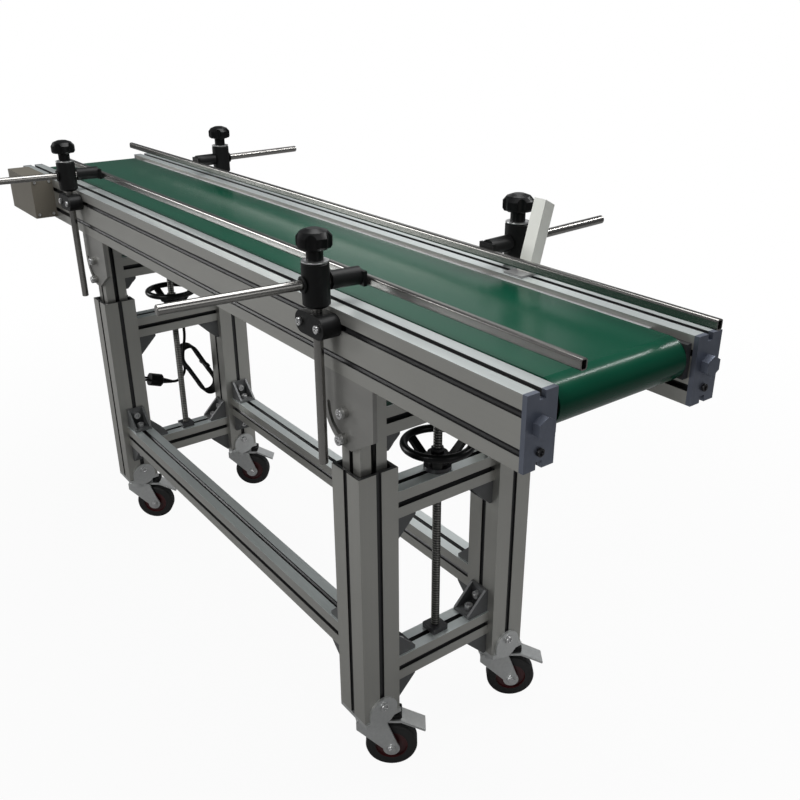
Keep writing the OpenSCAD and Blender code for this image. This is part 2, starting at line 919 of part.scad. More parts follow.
// Mains plug with a tapered sleeve and two pins
module plug() {
    sleeve_len = 24;
    body_len = 28;
    pin_d = 4.8;
    pin_len = 19;
    pin_pitch = 19;
    color("#161617")
    translate([hank_end_x, cord_out[7][0], cord_out[7][1]])
    rotate([plug_lean, 0, 0]) {
        rotate_extrude()
            polygon([
                [0, 0], [cord_d / 2 + 0.5, 0], [plug_d / 4, sleeve_len], [plug_d / 2 - 2, sleeve_len],
                [plug_d / 2, sleeve_len + 2], [plug_d / 2, sleeve_len + body_len], [0, sleeve_len + body_len]
            ]);
        for (s = sides)
            translate([s * pin_pitch / 2, 0, sleeve_len + body_len - eps])
                cylinder(d = pin_d, h = pin_len);
    }
}

outer_leg(near_leg_x, -1);  // outer_leg_near_left
outer_leg(near_leg_x, 1);  // outer_leg_near_right
outer_leg(far_leg_x, -1);  // outer_leg_far_left
outer_leg(far_leg_x, 1);  // outer_leg_far_right
cross_beams(near_leg_x);  // cross_beams_near
cross_beams(far_leg_x);  // cross_beams_far
long_beams();
gussets(near_leg_x, -1);  // gussets_near
gussets(far_leg_x, 1);  // gussets_far
foot_brackets();
screw_bearings();
leg_bushes();
cord_clip();
power_cord();
cord_hank();
plug();
inner_legs(near_leg_x);  // inner_legs_near
inner_legs(far_leg_x);  // inner_legs_far
lift_beams();
lift_gussets();
tilt_plates(-1);  // tilt_plates_left
tilt_plates(1);  // tilt_plates_right
rail(-1);  // rail_left
rail(1);  // rail_right
end_plates();
deck_bed();
bearing_blocks();
roller(deck_x + roller_x);  // idler_roller
roller(deck_x - roller_x);  // drive_roller
belt();
drive_cover();
drive_motor();
control_box();
guide_clamps(-1);  // guide_clamps_left
guide_clamps(1);  // guide_clamps_right
guide_posts(-1);  // guide_posts_left
guide_heads(-1);  // guide_heads_left
guide_knobs(-1);  // guide_knobs_left
cross_rods(-1);  // cross_rods_left
guide_clips(-1);  // guide_clips_left
guide_rail(-1, guide_left_len, guide_left_reach);  // guide_rail_left
guide_posts(1);  // guide_posts_right
guide_heads(1);  // guide_heads_right
guide_knobs(1);  // guide_knobs_right
cross_rods(1);  // cross_rods_right
guide_clips(1);  // guide_clips_right
guide_rail(1, guide_right_len, guide_right_reach);  // guide_rail_right
lead_screw(near_leg_x);  // lead_screw_near
handwheel(near_leg_x);  // handwheel_near
lead_screw(far_leg_x);  // lead_screw_far
handwheel(far_leg_x);  // handwheel_far
fork(near_leg_x, -1);  // fork_near_left
fork(near_leg_x, 1);  // fork_near_right
fork(far_leg_x, -1);  // fork_far_left
fork(far_leg_x, 1);  // fork_far_right
caster(near_leg_x, -1);  // caster_near_left
caster(near_leg_x, 1);  // caster_near_right
caster(far_leg_x, -1);  // caster_far_left
caster(far_leg_x, 1);  // caster_far_right
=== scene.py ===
"""Looks of the mini belt conveyor: camera, cord, finishes, small fasteners and studio."""

import math

import bpy
from mathutils import Matrix, Vector


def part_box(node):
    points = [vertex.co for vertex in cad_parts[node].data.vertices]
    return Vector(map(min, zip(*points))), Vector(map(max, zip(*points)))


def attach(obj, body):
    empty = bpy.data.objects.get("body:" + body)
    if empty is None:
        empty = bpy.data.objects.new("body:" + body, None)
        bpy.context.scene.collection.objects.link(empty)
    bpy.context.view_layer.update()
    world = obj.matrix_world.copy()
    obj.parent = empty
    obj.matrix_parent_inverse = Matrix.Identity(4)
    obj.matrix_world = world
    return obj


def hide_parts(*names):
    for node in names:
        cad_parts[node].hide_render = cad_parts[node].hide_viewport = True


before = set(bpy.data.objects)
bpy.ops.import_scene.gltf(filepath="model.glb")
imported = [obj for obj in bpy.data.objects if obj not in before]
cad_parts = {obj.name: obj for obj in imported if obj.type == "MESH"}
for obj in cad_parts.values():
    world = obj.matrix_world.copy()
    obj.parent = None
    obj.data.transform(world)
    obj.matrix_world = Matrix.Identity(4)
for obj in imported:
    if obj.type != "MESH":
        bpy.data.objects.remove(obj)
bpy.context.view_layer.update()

MM = 0.001
SIDES = {"left": -1, "right": 1}
ENDS = {"near": -1, "far": 1}


def middle(node):
    """Centre of a CAD node's box."""
    low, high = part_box(node)
    return (low + high) / 2


RAIL_OUT_Y = -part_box("rail_left")[0].y
DECK_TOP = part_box("rail_left")[1].z
LEGS = {(end, side): middle(f"outer_leg_{end}_{side}") for end in ENDS for side in SIDES}
LEG_HALF = 30 * MM
BEAM_HALF = 20 * MM
UPPER_BEAM_Z = 430 * MM
LOWER_BEAM_Z = 163 * MM
LONG_BEAM_Z = 210 * MM
LIFT_BEAM_Z = 555 * MM
SLOT_SKIN = 0.4 * MM
THREAD_PITCH = 4 * MM
POST_Y = 158 * MM
ROD_SWING = math.radians(5)
CASTER_HEADING = math.radians(53)
WHEEL_AXIS = Vector((-math.sin(CASTER_HEADING), math.cos(CASTER_HEADING), 0))


# Camera

CAMERA_AT = (1.27383, -0.66775, 1.02184)
CAMERA_TURN = 53.17
CAMERA_DOWN = 24.26
CAMERA_ROLL = -0.26
CAMERA_LENS = 39.81
SENSOR_WIDTH = 36


def make_camera():
    """Camera at the photograph's place, turn and lens."""
    data = bpy.data.cameras.new("camera")
    data.lens = CAMERA_LENS
    data.sensor_width = SENSOR_WIDTH
    data.clip_start = 0.05
    data.clip_end = 200
    camera = bpy.data.objects.new("camera", data)
    bpy.context.scene.collection.objects.link(camera)
    turn = Matrix.Rotation(math.radians(CAMERA_TURN), 4, "Z")
    tip = Matrix.Rotation(math.radians(90 - CAMERA_DOWN), 4, "X")
    roll = Matrix.Rotation(math.radians(CAMERA_ROLL), 4, "Z")
    camera.matrix_world = Matrix.Translation(CAMERA_AT) @ turn @ tip @ roll
    bpy.context.scene.camera = camera


make_camera()


# Modelling helpers


FLAT = 0.9
SAME_HEIGHT = 0.001 * MM
SMOOTH_BELOW = math.radians(35)


def only(piece):
    """Selects one piece and makes it active."""
    bpy.ops.object.select_all(action="DESELECT")
    piece.select_set(True)
    bpy.context.view_layer.objects.active = piece


def bevelled(piece, width, segments=2):
    """Rounds a piece's sharp edges."""
    only(piece)
    modifier = piece.modifiers.new("round", "BEVEL")
    modifier.width = width
    modifier.segments = segments
    modifier.limit_method = "ANGLE"
    bpy.ops.object.modifier_apply(modifier=modifier.name)
    bpy.ops.object.shade_smooth_by_angle(angle=SMOOTH_BELOW)
    return piece


def cylinder(radius, height, sides=28):
    """Cylinder that stands on the origin."""
    centre = (0, 0, height / 2)
    bpy.ops.mesh.primitive_cylinder_add(vertices=sides, radius=radius, depth=height, location=centre)
    bpy.ops.object.transform_apply(location=True, rotation=True, scale=True)
    return bpy.context.object


def select_top(piece, height):
    """Goes into edit mode with only the faces at that height selected."""
    only(piece)
    bpy.ops.object.mode_set(mode="EDIT")
    bpy.ops.mesh.select_mode(type="FACE")
    bpy.ops.mesh.select_all(action="DESELECT")
    bpy.ops.object.mode_set(mode="OBJECT")
    for face in piece.data.polygons:
        face.select = abs(face.center.z - height) < SAME_HEIGHT and face.normal.z > FLAT
    bpy.ops.object.mode_set(mode="EDIT")


def cap_screw(radius, height, sides=24):
    """Screw head with a round recess in its top."""
    piece = cylinder(radius, height, sides)
    select_top(piece, height)
    bpy.ops.mesh.inset(thickness=radius * 0.45)
    bpy.ops.mesh.extrude_region_move(TRANSFORM_OT_translate={"value": (0, 0, -height * 0.55)})
    bpy.ops.object.mode_set(mode="OBJECT")
    return bevelled(piece, radius * 0.09)


def nut(radius, height):
    """Hexagon nut or head with a domed bolt end."""
    piece = cylinder(radius, height, 6)
    select_top(piece, height)
    bpy.ops.mesh.inset(thickness=radius * 0.28)
    bpy.ops.mesh.extrude_region_move(TRANSFORM_OT_translate={"value": (0, 0, height * 0.25)})
    bpy.ops.object.mode_set(mode="OBJECT")
    return bevelled(piece, radius * 0.06)


def ring(outer, inner, height, sides=40):
    """Flat ring that stands on the origin."""
    piece = cylinder(outer, height, sides)
    only(piece)
    for face in piece.data.polygons:
        face.select = abs(face.normal.z) > FLAT
    bpy.ops.object.mode_set(mode="EDIT")
    bpy.ops.mesh.select_mode(type="FACE")
    bpy.ops.mesh.inset(thickness=outer - inner)
    bpy.ops.mesh.bridge_edge_loops()
    bpy.ops.mesh.select_all(action="SELECT")
    bpy.ops.mesh.normals_make_consistent(inside=False)
    bpy.ops.object.mode_set(mode="OBJECT")
    return bevelled(piece, min(height, outer - inner) * 0.2)


def block(length, width, height, rounding):
    """Rounded block centred on the origin."""
    bpy.ops.mesh.primitive_cube_add(size=1)
    piece = bpy.context.object
    piece.scale = (length, width, height)
    bpy.ops.object.transform_apply(location=True, rotation=True, scale=True)
    return bevelled(piece, rounding, 3)


def facing(at, towards):
    """Matrix that stands a piece at a point with its Z axis along a direction."""
    return Matrix.Translation(at) @ Vector(towards).to_track_quat("Z", "Y").to_matrix().to_4x4()


def set_out(template, name, body, finish, places):
    """Joins a copy of the template at each place into one piece that rides on a body."""
    bpy.ops.object.select_all(action="DESELECT")
    for place in places:
        copy = template.copy()
        copy.data = template.data.copy()
        copy.data.transform(place)
        bpy.context.scene.collection.objects.link(copy)
        copy.select_set(True)
        bpy.context.view_layer.objects.active = copy
    if len(places) > 1:
        bpy.ops.object.join()
    piece = bpy.context.view_layer.objects.active
    piece.name = name
    piece.data.name = name
    piece.data.materials.clear()
    piece.data.materials.append(finish)
    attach(piece, body)
    return piece


def drop(*templates):
    """Removes templates once their copies are made."""
    for template in templates:
        bpy.data.objects.remove(template)


# Shader helpers


class Value:
    """A shader socket that joins in plain arithmetic."""

    def __init__(self, finish, socket):
        self.finish = finish
        self.socket = socket

    def maths(self, operation, first, second=None):
        """One Math node over one or two values."""
        inputs = [first] if second is None else [first, second]
        return self.finish.node("ShaderNodeMath", {"operation": operation}, inputs)

    def __add__(self, other):
        return self.maths("ADD", self, other)

    __radd__ = __add__

    def __mul__(self, other):
        return self.maths("MULTIPLY", self, other)

    __rmul__ = __mul__

    def __sub__(self, other):
        return self.maths("SUBTRACT", self, other)

    def __rsub__(self, other):
        return self.maths("SUBTRACT", other, self)

    def __truediv__(self, other):
        return self.maths("DIVIDE", self, other)

    def __rtruediv__(self, other):
        return self.maths("DIVIDE", other, self)

    def __pow__(self, other):
        return self.maths("POWER", self, other)

    def __abs__(self):
        return self.maths("ABSOLUTE", self)

    def __gt__(self, other):
        return self.maths("GREATER_THAN", self, other)

    def __lt__(self, other):
        return self.maths("LESS_THAN", self, other)


class Finish:
    """A material and the calls that build its shader."""

    def __init__(self, name, color, roughness, metallic=0.0):
        self.material = bpy.data.materials.new(name)
        self.material.use_nodes = True
        self.tree = self.material.node_tree
        self.shader = self.tree.nodes["Principled BSDF"]
        self.plug(self.shader.inputs["Base Color"], (*color, 1.0))
        self.plug(self.shader.inputs["Roughness"], roughness)
        self.plug(self.shader.inputs["Metallic"], metallic)

    def plug(self, socket, value):
        """Links a value to a socket, or sets a constant on it."""
        if isinstance(value, Value):
            self.tree.links.new(value.socket, socket)
        else:
            socket.default_value = value

    def set(self, name, value):
        """Sets or links an input of the shader itself."""
        self.plug(self.shader.inputs[name], value)

    def node(self, kind, settings=None, inputs=(), output=0):
        """Makes any node from its settings and inputs, and gives one output."""
        node = self.tree.nodes.new(kind)
        for key, value in (settings or {}).items():
            setattr(node, key, value)
        pairs = inputs.items() if isinstance(inputs, dict) else enumerate(inputs)
        for key, value in pairs:
            self.plug(node.inputs[key], value)
        return Value(self, node.outputs[output])

    def position(self):
        """Place on the object, in metres."""
        return self.node("ShaderNodeTexCoord", output="Object")

    def parts(self, vector):
        """X, Y and Z of a vector."""
        split = self.node("ShaderNodeSeparateXYZ", inputs=[vector])
        outputs = split.socket.node.outputs
        return [Value(self, outputs[i]) for i in range(3)]

    def noise(self, scale, stretch=(1, 1, 1), detail=3.0):
        """Noise from 0 to 1, finer along the axes with a larger stretch."""
        mapped = self.node("ShaderNodeMapping", inputs={"Vector": self.position(), "Scale": stretch})
        inputs = {"Vector": mapped, "Scale": scale, "Detail": detail}
        return self.node("ShaderNodeTexNoise", inputs=inputs, output="Fac")

    def mix(self, factor, first, second):
        """Colour between two colours, each fixed or worked out."""
        start, end = [color if isinstance(color, Value) else (*color, 1.0) for color in (first, second)]
        inputs = {0: factor, 6: start, 7: end}
        return self.node("ShaderNodeMix", {"data_type": "RGBA"}, inputs, 2)

    def bump(self, height, strength, distance):
        """Small relief from a height."""
        inputs = {"Height": height, "Strength": strength, "Distance": distance}
        self.set("Normal", self.node("ShaderNodeBump", inputs=inputs, output="Normal"))


# Finishes


def extruded(name, along, section, tops=()):
    """Anodised aluminium with faint lines along the extrusion, and painted shade in the slots.

    Each row of the section is an axis, the middle and half pitch of the bars on it, and their half width.
    The tops are the heights of the bars' upward faces, which get a painted highlight, pale and cool, and
    are a little smoother.
    """
    light = (0.43, 0.427, 0.40)
    dark = (0.345, 0.342, 0.32)
    finish = Finish(name, light, 0.42)
    stretch = [400, 400, 400]
    stretch["xyz".index(along)] = 2
    lines = finish.noise(1.0, stretch, 2.0)
    clouds = finish.noise(9.0)
    place = finish.parts(finish.position())
    # Painted shade: faces inside the T-slots are painted near black and made less metallic, standing in
    # for the shade in the grooves.
    painted_slot_shade = 1.0
    for axis, centre, pitch, half in section:
        off = abs(abs(place["xyz".index(axis)] - centre) - pitch)
        painted_slot_shade = (off < half - SLOT_SKIN) * painted_slot_shade
    # Painted highlight: the bars' upward faces are painted pale cyan-white, as if lit from above, and made
    # a little smoother.
    painted_top_highlight = 0.0
    for height in tops:
        painted_top_highlight = (abs(place[2] - height) < SLOT_SKIN) + painted_top_highlight
    satin = finish.mix(clouds * 0.5 + lines * 0.5, dark, light)
    metal = finish.mix(painted_top_highlight, satin, (0.70, 0.745, 0.735))
    finish.set("Base Color", finish.mix(painted_slot_shade, metal, (0.03, 0.03, 0.031)))
    finish.set("Metallic", 0.75 - painted_slot_shade * 0.55)
    finish.set("Roughness", 0.28 + lines * 0.16 - painted_top_highlight * 0.05)
    finish.bump(lines, 0.12, 0.0004)
    return finish.material


def cast_metal():
    """Blasted casting."""
    finish = Finish("cast_metal", (0.14, 0.143, 0.145), 0.5, 0.7)
    grain = finish.noise(900.0)
    finish.set("Roughness", 0.45 + grain * 0.2)
    finish.bump(grain, 0.2, 0.0005)
    return finish.material


def plate_metal():
    """Satin grey plate with faint marks."""
    finish = Finish("plate_metal", (0.29, 0.285, 0.27), 0.42, 0.7)
    marks = finish.noise(12.0, (1, 1, 3))
    finish.set("Base Color", finish.mix(marks, (0.24, 0.237, 0.225), (0.34, 0.336, 0.32)))
    finish.set("Roughness", 0.34 + marks * 0.18)
    return finish.material


def end_metal():
    """End plates: brighter machined metal with a bluish cast."""
    finish = Finish("end_metal", (0.17, 0.19, 0.235), 0.36, 0.75)
    marks = finish.noise(14.0, (1, 3, 1))
    finish.set("Base Color", finish.mix(marks, (0.11, 0.125, 0.165), (0.22, 0.24, 0.29)))
    return finish.material


def bright_steel(name, along):
    """Ground rod or tube."""
    finish = Finish(name, (0.27, 0.262, 0.25), 0.24, 0.95)
    stretch = [500, 500, 500]
    stretch["xyz".index(along)] = 12
    lines = finish.noise(1.0, stretch, 2.0)
    finish.set("Roughness", 0.2 + lines * 0.08)
    return finish.material


def threaded_steel(centre):
    """Lead screw with its thread as relief round the axis, and painted shade in the thread's grooves."""
    finish = Finish("threaded_steel", (0.15, 0.148, 0.14), 0.38, 0.85)
    x, y, z = finish.parts(finish.position())
    angle = finish.node("ShaderNodeMath", {"operation": "ARCTAN2"}, [y - centre.y, x - centre.x])
    turns = z / THREAD_PITCH + angle / math.tau
    ridge = finish.node("ShaderNodeMath", {"operation": "PINGPONG"}, [turns, 0.5]) * 2
    # Painted shade: the thread's grooves are painted near black and its crests lighter.
    finish.set("Base Color", finish.mix(ridge, (0.04, 0.04, 0.038), (0.26, 0.255, 0.24)))
    finish.bump(ridge, 0.9, 0.0012)
    return finish.material


def black_plastic(name, gloss):
    """Moulded black plastic."""
    finish = Finish(name, (0.004, 0.0042, 0.0044), 0.45)
    finish.set("Specular IOR Level", 0.2)
    grain = finish.noise(700.0)
    finish.set("Roughness", gloss + grain * 0.12)
    finish.bump(grain, 0.08, 0.0003)
    return finish.material


def belt_green():
    """Smooth green belt with faint cloudiness and dust."""
    finish = Finish("belt_green", (0.002, 0.05, 0.026), 0.3)
    clouds = finish.noise(5.0, (0.6, 2.0, 1.0))
    fine = finish.noise(500.0, detail=1.0)
    finish.set("Base Color", finish.mix(clouds, (0.0015, 0.042, 0.022), (0.003, 0.062, 0.034)))
    finish.set("Roughness", 0.17 + clouds * 0.08 + fine * 0.03)
    finish.set("Specular IOR Level", 0.16)
    finish.bump(fine, 0.05, 0.0003)
    return finish.material


def painted(name, color, roughness):
    """Even paint or plastic with a faint mottle."""
    finish = Finish(name, color, roughness)
    mottle = finish.noise(30.0)
    darker = tuple(channel * 0.86 for channel in color)
    finish.set("Base Color", finish.mix(mottle, darker, color))
    return finish.material


def box_plastic():
    """Pale box on its bare metal base plate, told apart by height."""
    plastic = (0.74, 0.74, 0.69)
    finish = Finish("box_plastic", plastic, 0.45)
    height = finish.parts(finish.position())[2]
    box = height > DECK_TOP + 3.2 * MM
    finish.set("Base Color", finish.mix(box, (0.30, 0.30, 0.30), plastic))
    finish.set("Metallic", 0.7 - box * 0.7)
    return finish.material


def zinc():
    """Plated pressing with faint spangle."""
    finish = Finish("zinc", (0.42, 0.43, 0.43), 0.35, 0.85)
    spangle = finish.noise(220.0)
    finish.set("Base Color", finish.mix(spangle, (0.50, 0.51, 0.51), (0.66, 0.67, 0.66)))
    finish.set("Roughness", 0.28 + spangle * 0.2)
    return finish.material


TYRE_INNER_R = 23.4 * MM
HUB_CENTRE_R = 9.5 * MM


def wheel_rubber(name, hub, axle):
    """Black tyre round a dark red hub, told apart by the distance from the axle."""
    finish = Finish(name, (0.012, 0.012, 0.012), 0.6)
    x, y, z = finish.parts(finish.position())
    dx = x - hub.x
    dy = y - hub.y
    dz = z - hub.z
    along = dx * axle.x + dy * axle.y
    radius = (dx * dx + dy * dy + dz * dz - along * along) ** 0.5
    tyre = radius > TYRE_INNER_R
    centre = radius < HUB_CENTRE_R
    finish.set("Base Color", finish.mix(tyre, (0.05, 0.008, 0.009), (0.010, 0.010, 0.010)))
    finish.set("Roughness", 0.32 + tyre * 0.3)
    finish.set("Metallic", centre * 0.6)
    return finish.material


# Cord

CORD_D = 6 * MM
HANK_TOP = (41 * MM, 324 * MM)
HANK_FOOT = (84 * MM, 243 * MM)
HANK_R = 18 * MM
HANK_TURNS = 5
HANK_X = -430 * MM
FOLD_POINTS = 8
RUN_POINTS = 4
# Points in millimetres from the gland to the hank, and from the hank to the plug
CORD_DOWN = [
    (-422.5, 30, 396), (-422.5, 30, 388), (-423, 30, 378), (-424.5, 29.5, 367), (-426.5, 28, 354),
    (-428.5, 26, 340), (-429.5, 24.5, 328),
]
CORD_OUT = [
    (-460, 29.5, 307), (-460, 34.5, 298), (-460, 37.5, 288.5), (-460, 36, 278.5), (-460, 31.5, 270),
    (-460, 23.5, 263.5), (-460, 13.5, 261), (-460, 4, 262.5),
]


def hank_route():
    """Points of the hank's turns, one diameter apart, each down one run and up the other."""
    top = Vector(HANK_TOP)
    foot = Vector(HANK_FOOT)
    run = foot - top
    down = run.normalized()
    across = Vector((-down.y, down.x))
    turn = []
    for i in range(RUN_POINTS):
        turn.append(top - across * HANK_R + run * i / RUN_POINTS)
    for i in range(FOLD_POINTS):
        angle = math.pi * i / FOLD_POINTS
        turn.append(foot - across * HANK_R * math.cos(angle) + down * HANK_R * math.sin(angle))
    for i in range(RUN_POINTS):
        turn.append(foot + across * HANK_R - run * i / RUN_POINTS)
    for i in range(FOLD_POINTS):
        angle = math.pi * i / FOLD_POINTS
        turn.append(top + across * HANK_R * math.cos(angle) - down * HANK_R * math.sin(angle))
    count = len(turn)
    points = []
    for i in range(count * HANK_TURNS + 1):
        flat = turn[i % count]
        points.append((HANK_X - CORD_D * i / count, flat.x, flat.y))
    return points


def make_tie():
    """Tie round one run of the hank, halfway down it."""
    top = Vector(HANK_TOP)
    foot = Vector(HANK_FOOT)
    down = (foot - top).normalized()
    at = (top + foot) / 2 + Vector((-down.y, down.x)) * HANK_R
    template = block((HANK_TURNS + 1) * CORD_D + 2 * MM, CORD_D + 2 * MM, 7 * MM, 0.8 * MM)
    lean = Matrix.Rotation(math.atan2(down.x, -down.y), 4, "X")
    place = Matrix.Translation((HANK_X - HANK_TURNS * CORD_D / 2, at.x, at.y)) @ lean
    finish = black_plastic("tie_plastic", 0.4)
    tie = set_out(template, "hank_tie", "frame", finish, [place])
    drop(template)
    return tie


def make_cord():
    """The mains lead: out of its gland, round the hank, and on to the plug."""
    down = [tuple(value * MM for value in point) for point in CORD_DOWN]
    out = [tuple(value * MM for value in point) for point in CORD_OUT]
    route = down + hank_route() + out
    data = bpy.data.curves.new("cord", "CURVE")
    data.dimensions = "3D"
    data.bevel_depth = CORD_D / 2
    data.bevel_resolution = 3
    data.resolution_u = 4
    data.use_fill_caps = True
    spline = data.splines.new("BEZIER")
    spline.bezier_points.add(len(route) - 1)
    for knot, point in zip(spline.bezier_points, route):
        knot.co = point
        knot.handle_left_type = "AUTO"
        knot.handle_right_type = "AUTO"
    cord = bpy.data.objects.new("cord", data)
    bpy.context.scene.collection.objects.link(cord)
    data.materials.append(black_plastic("cord_rubber", 0.5))
    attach(cord, "frame")
    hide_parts("power_cord", "cord_hank")
    make_tie()


make_cord()


# Finishes on the CAD nodes

MID_X = (LEGS["near", "left"].x + LEGS["far", "left"].x) / 2
HALF_PITCH = (LEGS["near", "left"].x - LEGS["far", "left"].x) / 2
LEG_Y = LEGS["near", "right"].y
BEAM_Z = (UPPER_BEAM_Z + LOWER_BEAM_Z) / 2
BEAM_HALF_PITCH = (UPPER_BEAM_Z - LOWER_BEAM_Z) / 2
ACROSS_FRAMES = ("x", MID_X, HALF_PITCH, BEAM_HALF)
RAIL_HALF_HEIGHT = 40 * MM
RAIL_Y = RAIL_OUT_Y - BEAM_HALF
RAIL_FACES = [("y", 0, RAIL_Y, BEAM_HALF), ("z", DECK_TOP - RAIL_HALF_HEIGHT, 0, RAIL_HALF_HEIGHT)]
LONG_FACES = [("y", 0, LEG_Y, BEAM_HALF), ("z", LONG_BEAM_Z, 0, BEAM_HALF)]
CROSS_FACES = [ACROSS_FRAMES, ("z", BEAM_Z, BEAM_HALF_PITCH, BEAM_HALF)]
CROSS_TOPS = [UPPER_BEAM_Z + BEAM_HALF, LOWER_BEAM_Z + BEAM_HALF]
LIFT_FACES = [ACROSS_FRAMES, ("z", LIFT_BEAM_Z, 0, BEAM_HALF)]
ALU_RAIL = extruded("aluminium_rail", "x", RAIL_FACES, [DECK_TOP])
ALU_LONG = extruded("aluminium_long", "x", LONG_FACES, [LONG_BEAM_Z + BEAM_HALF])
ALU_CROSS = extruded("aluminium_cross", "y", CROSS_FACES, CROSS_TOPS)
ALU_LIFT = extruded("aluminium_lift", "y", LIFT_FACES, [LIFT_BEAM_Z + BEAM_HALF])
ALU_INNER = extruded("aluminium_inner", "z", [ACROSS_FRAMES, ("y", 0, LEG_Y, BEAM_HALF)])
OUTER_FACES = [("x", MID_X, HALF_PITCH, LEG_HALF), ("y", 0, LEG_Y, LEG_HALF)]
ALU_OUTER = extruded("aluminium_outer", "z", OUTER_FACES)
CAST = cast_metal()
PLATE = plate_metal()
BLACK = black_plastic("black_plastic", 0.42)
KNOB_BLACK = black_plastic("knob_black", 0.26)
STEEL_X = bright_steel("steel_x", "x")
STEEL_Y = bright_steel("steel_y", "y")
STEEL_Z = bright_steel("steel_z", "z")
DARK = painted("dark_metal", (0.025, 0.025, 0.028), 0.4)
ZINC = zinc()
SCREW_DARK = Finish("screw_dark", (0.04, 0.04, 0.042), 0.35, 0.8).material
SCREW_BRIGHT = Finish("screw_bright", (0.6, 0.6, 0.6), 0.28, 0.9).material

NODE_FINISHES = {
    "cross_beams_near": ALU_CROSS,
    "cross_beams_far": ALU_CROSS,
    "long_beams": ALU_LONG,
    "gussets_near": CAST,
    "gussets_far": CAST,
    "foot_brackets": ZINC,
    "screw_bearings": DARK,
    "leg_bushes": BLACK,
    "inner_legs_near": ALU_INNER,
    "inner_legs_far": ALU_INNER,
    "lift_beams": ALU_LIFT,
    "lift_gussets": CAST,
    "end_plates": end_metal(),
    "deck_bed": painted("bed_metal", (0.35, 0.35, 0.36), 0.4),
    "bearing_blocks": DARK,
    "idler_roller": STEEL_Y,
    "drive_roller": STEEL_Y,
    "belt": belt_green(),
    "drive_cover": painted("cover_paint", (0.135, 0.122, 0.098), 0.42),
    "drive_motor": DARK,
    "control_box": box_plastic(),
    "power_cord": BLACK,
    "cord_hank": BLACK,
    "plug": BLACK,
    "cord_clip": BLACK,
}
for side in SIDES:
    NODE_FINISHES[f"tilt_plates_{side}"] = PLATE
    NODE_FINISHES[f"rail_{side}"] = ALU_RAIL
    NODE_FINISHES[f"guide_clamps_{side}"] = BLACK
    NODE_FINISHES[f"guide_posts_{side}"] = STEEL_Z
    NODE_FINISHES[f"guide_heads_{side}"] = BLACK
    NODE_FINISHES[f"guide_knobs_{side}"] = KNOB_BLACK
    NODE_FINISHES[f"cross_rods_{side}"] = STEEL_Y
    NODE_FINISHES[f"guide_clips_{side}"] = BLACK
    NODE_FINISHES[f"guide_rail_{side}"] = STEEL_X
for end in ENDS:
    NODE_FINISHES[f"lead_screw_{end}"] = threaded_steel(middle(f"lead_screw_{end}"))
    NODE_FINISHES[f"handwheel_{end}"] = KNOB_BLACK
    for side in SIDES:
        place = f"{end}_{side}"
        NODE_FINISHES[f"outer_leg_{place}"] = ALU_OUTER
        NODE_FINISHES[f"fork_{place}"] = ZINC
        hub = middle(f"caster_{place}")
        NODE_FINISHES[f"caster_{place}"] = wheel_rubber(f"wheel_{place}", hub, WHEEL_AXIS)


def dress_nodes():
    """Gives each CAD node its finish."""
    for name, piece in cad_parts.items():
        piece.data.materials.clear()
        piece.data.materials.append(NODE_FINISHES[name])


dress_nodes()


# Fasteners


def gusset_screws():
    """Two screws in each corner gusset, one through each foot."""
    screw = cap_screw(6.5 * MM, 7 * MM)
    foot = 5 * MM
    out = 23 * MM
    # Each row: height of the beam's middle, and 1 above the beam or -1 below it
    cross_rows = [(UPPER_BEAM_Z, -1), (LOWER_BEAM_Z, 1), (LOWER_BEAM_Z, -1)]
    places = []
    for (end, side), leg in LEGS.items():
        sign = SIDES[side]
        inward = ENDS[end]
        face_y = sign * (abs(leg.y) - LEG_HALF)
        face_x = leg.x + inward * LEG_HALF
        for z, up in cross_rows:
            face_z = z + up * BEAM_HALF
            places.append(facing((leg.x, face_y - sign * out, face_z + up * foot), (0, 0, up)))
            places.append(facing((leg.x, face_y - sign * foot, face_z + up * out), (0, -sign, 0)))
        for up in (1, -1):
            face_z = LONG_BEAM_Z + up * BEAM_HALF
            places.append(facing((face_x + inward * out, leg.y, face_z + up * foot), (0, 0, up)))
            places.append(facing((face_x + inward * foot, leg.y, face_z + up * out), (inward, 0, 0)))
    set_out(screw, "gusset_screws", "frame", SCREW_BRIGHT, places)
    drop(screw)


def deck_screws():
    """Screws under and on the tilt plates, and two on the face of each guide clamp."""
    large = cap_screw(6.5 * MM, 6 * MM)
    small = cap_screw(5 * MM, 4 * MM)
    under_z = DECK_TOP - 86 * MM
    bolt_face = 4 * MM
    pivot = (0, DECK_TOP - 127 * MM)
    lock = (-4 * MM, DECK_TOP - 164 * MM)
    post_inset = 31 * MM
    clamp_z = DECK_TOP - 20 * MM
    plates = []
    clamps = []
    for (end, side), leg in LEGS.items():
        sign = SIDES[side]
        for shift in (-36 * MM, 42 * MM):
            plates.append(facing((leg.x + shift, sign * RAIL_Y, under_z), (0, 0, -1)))
        for shift, z in (pivot, lock):
            plates.append(facing((leg.x + shift, sign * (RAIL_OUT_Y + bolt_face), z), (0, sign, 0)))
    for side, sign in SIDES.items():
        low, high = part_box(f"guide_clamps_{side}")
        face_y = sign * max(abs(low.y), abs(high.y))
        for post_x in (low.x + post_inset, high.x - post_inset):
            for shift in (-19 * MM, 19 * MM):
                clamps.append(facing((post_x + shift, face_y, clamp_z), (0, sign, 0)))
    set_out(large, "plate_screws", "deck", SCREW_BRIGHT, plates)
    set_out(small, "clamp_screws", "deck", SCREW_BRIGHT, clamps)
    drop(large, small)


def end_screws():
    """Small screw under each belt tension bolt."""
    screw = cap_screw(4.5 * MM, 3 * MM)
    low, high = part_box("end_plates")
    bolt_out = 9 * MM
    screw_z = DECK_TOP - 62 * MM
    places = []
    for x, towards in ((high.x - bolt_out, 1), (low.x + bolt_out, -1)):
        for sign in SIDES.values():
            places.append(facing((x, sign * RAIL_Y, screw_z), (towards, 0, 0)))
    set_out(screw, "end_screws", "deck", SCREW_DARK, places)
    drop(screw)


